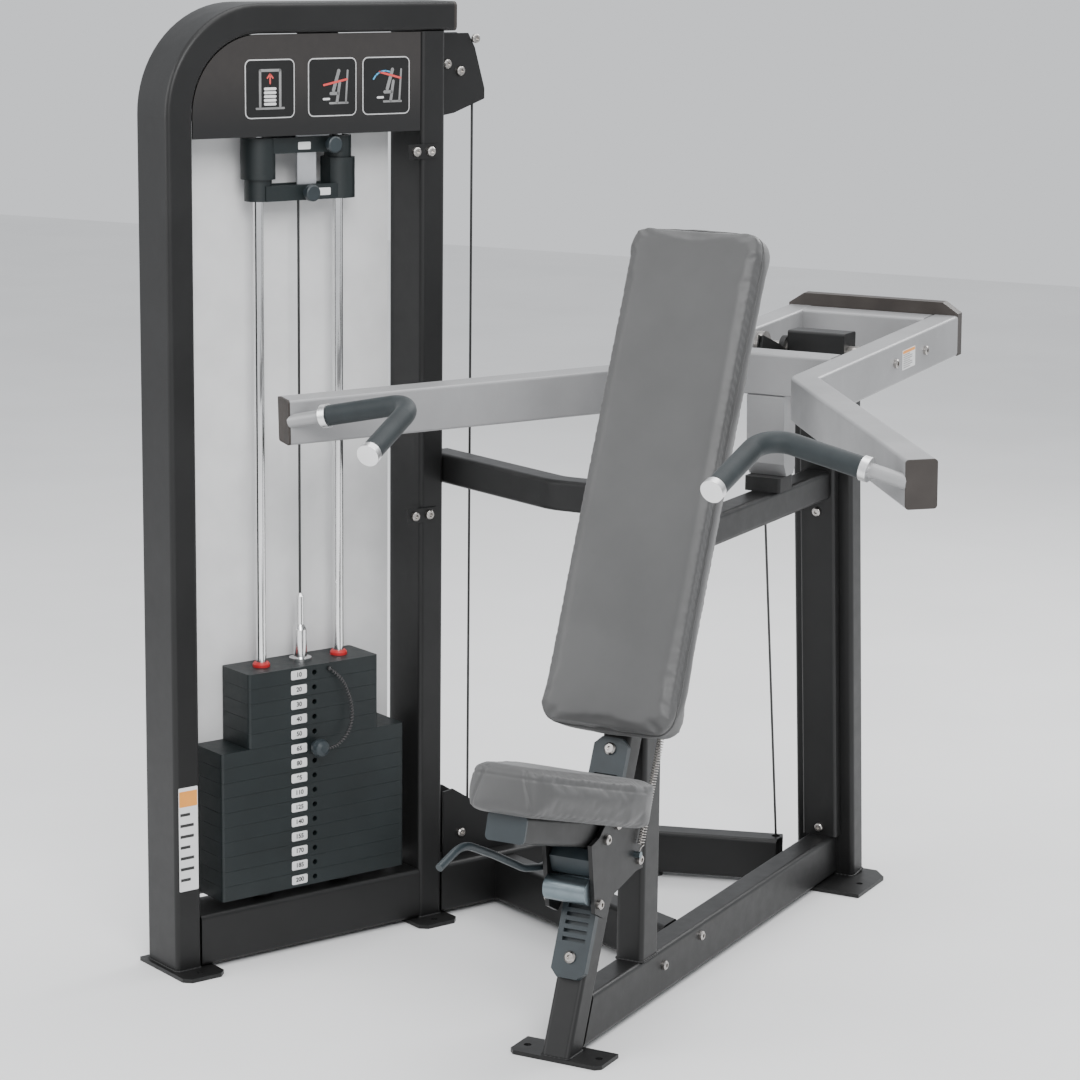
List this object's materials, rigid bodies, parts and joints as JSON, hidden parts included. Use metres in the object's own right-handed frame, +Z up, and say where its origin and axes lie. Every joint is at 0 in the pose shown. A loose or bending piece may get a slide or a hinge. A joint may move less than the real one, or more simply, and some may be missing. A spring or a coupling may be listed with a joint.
{
  "type": "shoulder press machine",
  "caption": "Seated shoulder press with a weight-stack tower beside it, a leaning back pad, a seat adjustable in height and a yoke arm with angled grips that lifts the stack by cable.",
  "frame": {"origin": "on the floor at the middle of the front foot plate's front edge, on the seat unit's mid-plane", "axes": "+Z up, +Y towards the back of the machine (the user faces -Y), +X to the user's left; the weight tower stands at -X"},
  "size_m": [1.5961, 1.7145, 1.84],
  "materials": {
    "frame_paint": "satin",
    "silver_paint": "satin",
    "stack_iron": "satin, fine texture",
    "chrome_steel": "polished",
    "bright_steel": "satin",
    "zinc_steel": "zinc plated",
    "red_plastic": "matt",
    "black_rubber": "matt",
    "grip_rubber": "soft matt",
    "white_aluminium": "satin",
    "grey_vinyl": "grained vinyl",
    "plywood": "raw",
    "slate_plastic": "textured",
    "white_plastic": "matt",
    "sign_plastic": "printed, semi-gloss",
    "cap_plastic": "textured",
    "cable_jacket": "smooth nylon jacket",
    "pulley_nylon": "smooth"
  },
  "bodies": {
    "frame": {"tower_arch": "frame_paint", "tower_rear_post": "frame_paint", "tower_base_tubes": "frame_paint", "foot_plates": "frame_paint", "guide_rods": "chrome_steel", "rubber_bumpers": "black_rubber", "resting_plates": "stack_iron", "addon_holder": "zinc_steel", "tower_brackets": "frame_paint", "drive_cable": "cable_jacket", "sign_panel": "sign_plastic", "shroud_panel": "white_plastic", "frame_caps": "cap_plastic", "seat_post": "frame_paint", "main_tube": "frame_paint", "seat_column": "frame_paint", "top_beam": "frame_paint", "rear_upright": "frame_paint", "upright_face_bar": "frame_paint", "link_tubes": "frame_paint", "pivot_housing": "frame_paint", "back_pad_board": "plywood", "back_pad": "grey_vinyl", "post_rack": "slate_plastic", "frame_bolts": "bright_steel"},
    "press_arm": {"arm_tube_left": "silver_paint", "arm_tube_right": "silver_paint", "arm_cross_bars": "silver_paint", "counterweight_plate": "cap_plastic", "pivot_shaft": "bright_steel", "stop_bracket": "silver_paint", "drive_cam": "frame_paint", "arm_end_caps": "cap_plastic", "handles": "silver_paint", "grips": "grip_rubber", "grip_rings": "white_aluminium", "arm_bolts": "bright_steel"},
    "lifted_stack": {"lifted_plates": "stack_iron", "selector_rod": "chrome_steel", "rod_bushes": "red_plastic", "curly_cord": "cable_jacket", "cable_stack_run": "cable_jacket"},
    "selector_pin": {"selector_pin": "bright_steel", "pin_knob": "slate_plastic"},
    "addon_lower": {"addon_weight_lower": "stack_iron"},
    "addon_upper": {"addon_weight_upper": "stack_iron"},
    "knob_lower": {"addon_knob_lower": "slate_plastic"},
    "knob_upper": {"addon_knob_upper": "slate_plastic"},
    "front_pulley": {"top_pulley_front": "pulley_nylon"},
    "rear_pulley": {"top_pulley_rear": "pulley_nylon"},
    "floor_pulley": {"low_pulley": "pulley_nylon"},
    "seat_carriage": {"carriage_plates": "frame_paint", "carriage_rollers": "slate_plastic", "seat_covers": "slate_plastic", "seat_tube": "frame_paint", "seat_board": "plywood", "seat_pad": "grey_vinyl", "carriage_bolts": "bright_steel", "seat_spring": "bright_steel"},
    "seat_lever": {"seat_lever": "slate_plastic"}
  },
  "joints": [
    {"name": "arm_raise", "type": "hinge", "parent": "frame", "child": "press_arm", "pos_m": [0, 1.15, 1.142], "axis": [-1, 0, 0], "range_deg": [0, 32]},
    {"name": "stack_lift", "type": "slide", "parent": "frame", "child": "lifted_stack", "axis": [0, 0, 1], "range_m": [0, 0.1457], "deforming": ["cable_stack_run"]},
    {"name": "pin_pull", "type": "slide", "parent": "lifted_stack", "child": "selector_pin", "axis": [0.9082, -0.4185, 0], "range_m": [0, 0.065]},
    {"name": "front_pulley_spin", "type": "hinge", "parent": "frame", "child": "front_pulley", "pos_m": [-0.73511, 0.40093, 1.705], "axis": [-0.9082, 0.4185, 0], "range_deg": [0, 186]},
    {"name": "rear_pulley_spin", "type": "hinge", "parent": "frame", "child": "rear_pulley", "pos_m": [-0.60202, 0.68975, 1.705], "axis": [-0.9082, 0.4185, 0], "range_deg": [0, 186]},
    {"name": "floor_pulley_spin", "type": "hinge", "parent": "frame", "child": "floor_pulley", "pos_m": [-0.56436, 0.77149, 0.1], "axis": [-0.9082, 0.4185, 0], "range_deg": [-186, 0]},
    {"name": "addon_drop_lower", "type": "slide", "parent": "frame", "child": "addon_lower", "axis": [0, 0, -1], "range_m": [0, 0.74]},
    {"name": "addon_drop_upper", "type": "slide", "parent": "frame", "child": "addon_upper", "axis": [0, 0, -1], "range_m": [0, 0.74]},
    {"name": "knob_pull_lower", "type": "slide", "parent": "addon_lower", "child": "knob_lower", "axis": [0.9082, -0.4185, 0], "range_m": [0, 0.01], "stiffness_N_per_m": 400},
    {"name": "knob_pull_upper", "type": "slide", "parent": "addon_upper", "child": "knob_upper", "axis": [0.9082, -0.4185, 0], "range_m": [0, 0.01], "stiffness_N_per_m": 400},
    {"name": "seat_height", "type": "slide", "parent": "frame", "child": "seat_carriage", "axis": [0, 0.3907, 0.9205], "range_m": [-0.075, 0.09], "deforming": ["seat_spring"]},
    {"name": "seat_lever_lift", "type": "hinge", "parent": "seat_carriage", "child": "seat_lever", "pos_m": [-0.0585, 0.12, 0.338], "axis": [-1, 0, 0], "range_deg": [0, 8], "stiffness_Nm_per_rad": 4}
  ],
  "couplings": [
    {"joint": "stack_lift", "follows": "arm_raise", "m_per_rad": 0.26},
    {"joint": "front_pulley_spin", "follows": "arm_raise", "ratio": 5.7778},
    {"joint": "rear_pulley_spin", "follows": "arm_raise", "ratio": 5.7778},
    {"joint": "floor_pulley_spin", "follows": "arm_raise", "ratio": -5.7778},
    {"joint": "addon_drop_upper", "follows": "addon_drop_lower", "ratio": 1}
  ]
}
